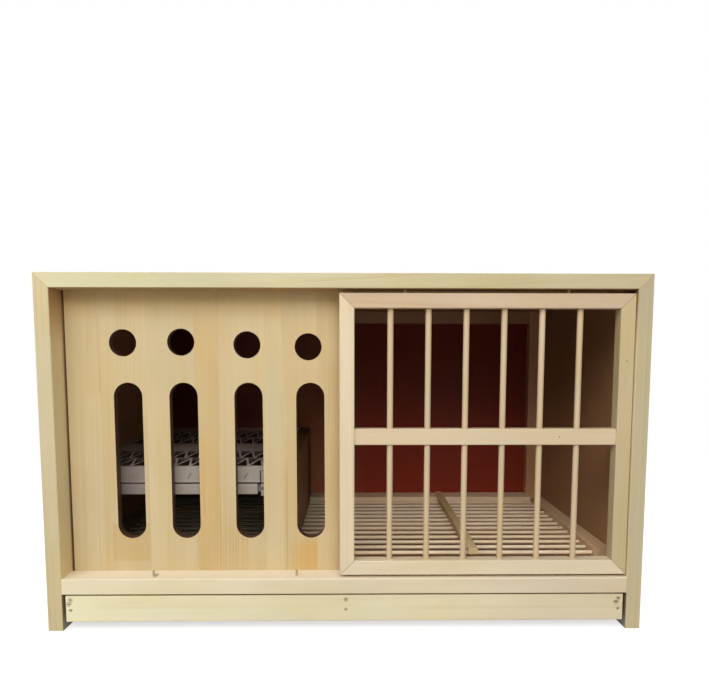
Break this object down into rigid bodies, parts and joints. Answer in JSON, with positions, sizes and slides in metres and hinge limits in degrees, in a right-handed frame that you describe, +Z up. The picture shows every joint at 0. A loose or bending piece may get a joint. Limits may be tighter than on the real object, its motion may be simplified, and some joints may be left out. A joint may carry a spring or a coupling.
{
  "type": "pigeon nest box",
  "caption": "Wooden nest box with a sliding barred door, a sliding carved panel, a rod floor, a nest platform with a lift-out mat and a pull-out dropping tray.",
  "frame": {"origin": "middle of the footprint, on the ground under the side boards", "axes": "+X along the front towards the barred door, +Y from the front to the back, +Z up"},
  "size_m": [0.8, 0.45, 0.475],
  "materials": {
    "case_pine": "planed, clear varnished pine",
    "door_pine": "planed, clear varnished pine",
    "dowel_pine": "turned dowel, clear varnished",
    "panel_pine": "edge-glued pine board, satin",
    "inner_pine": "planed pine, unfinished",
    "strip_wood": "weathered batten, matt",
    "tray_front_pine": "planed, clear varnished pine",
    "tray_pine": "planed pine, unfinished",
    "red_board": "thin board, painted dark red, satin",
    "mat_plastic": "moulded plastic, grey-white, matt",
    "steel": "bright wire"
  },
  "bodies": {
    "casing": {"top_board": "case_pine", "left_side_board": "case_pine", "right_side_board": "case_pine", "front_rail": "case_pine", "left_rear_post": "inner_pine", "right_rear_post": "inner_pine", "rear_top_rail": "inner_pine", "rear_bottom_rail": "inner_pine", "back_panel": "red_board", "back_panel_nails": "steel", "guide_pins": "dowel_pine", "left_floor_ledge": "inner_pine", "right_floor_ledge": "inner_pine", "floor_front_rail": "inner_pine", "floor_rear_board": "inner_pine", "floor_left_rail": "inner_pine", "floor_right_rail": "inner_pine", "floor_rods": "dowel_pine", "floor_strip": "strip_wood", "left_tray_runner": "inner_pine", "right_tray_runner": "inner_pine", "platform_front_rail": "mat_plastic", "platform_rear_rail": "inner_pine", "platform_side_board": "inner_pine", "mat_corner_clip": "mat_plastic"},
    "barred_door": {"door_left_stile": "door_pine", "door_right_stile": "door_pine", "door_top_rail": "door_pine", "door_bottom_rail": "door_pine", "door_mid_rail": "door_pine", "door_bars": "dowel_pine", "door_pegs": "dowel_pine", "door_brads": "steel"},
    "front_panel": {"carved_panel": "panel_pine"},
    "dropping_tray": {"tray_front": "tray_front_pine", "tray_left_wall": "tray_pine", "tray_right_wall": "tray_pine", "tray_back_wall": "tray_pine", "tray_divider": "tray_pine", "tray_bottom": "tray_pine", "tray_brads": "steel"},
    "lift_out_mat": {"nest_mat": "mat_plastic"}
  },
  "joints": [
    {"name": "door_slide", "type": "slide", "parent": "casing", "child": "barred_door", "axis": [-1, 0, 0], "range_m": [0, 0.371]},
    {"name": "panel_slide", "type": "slide", "parent": "casing", "child": "front_panel", "axis": [1, 0, 0], "range_m": [0, 0.371]},
    {"name": "tray_slide", "type": "slide", "parent": "casing", "child": "dropping_tray", "axis": [0, -1, 0], "range_m": [0, 0.38]},
    {"name": "mat_lift", "type": "slide", "parent": "casing", "child": "lift_out_mat", "axis": [0, 0, 1], "range_m": [0, 0.06]}
  ]
}
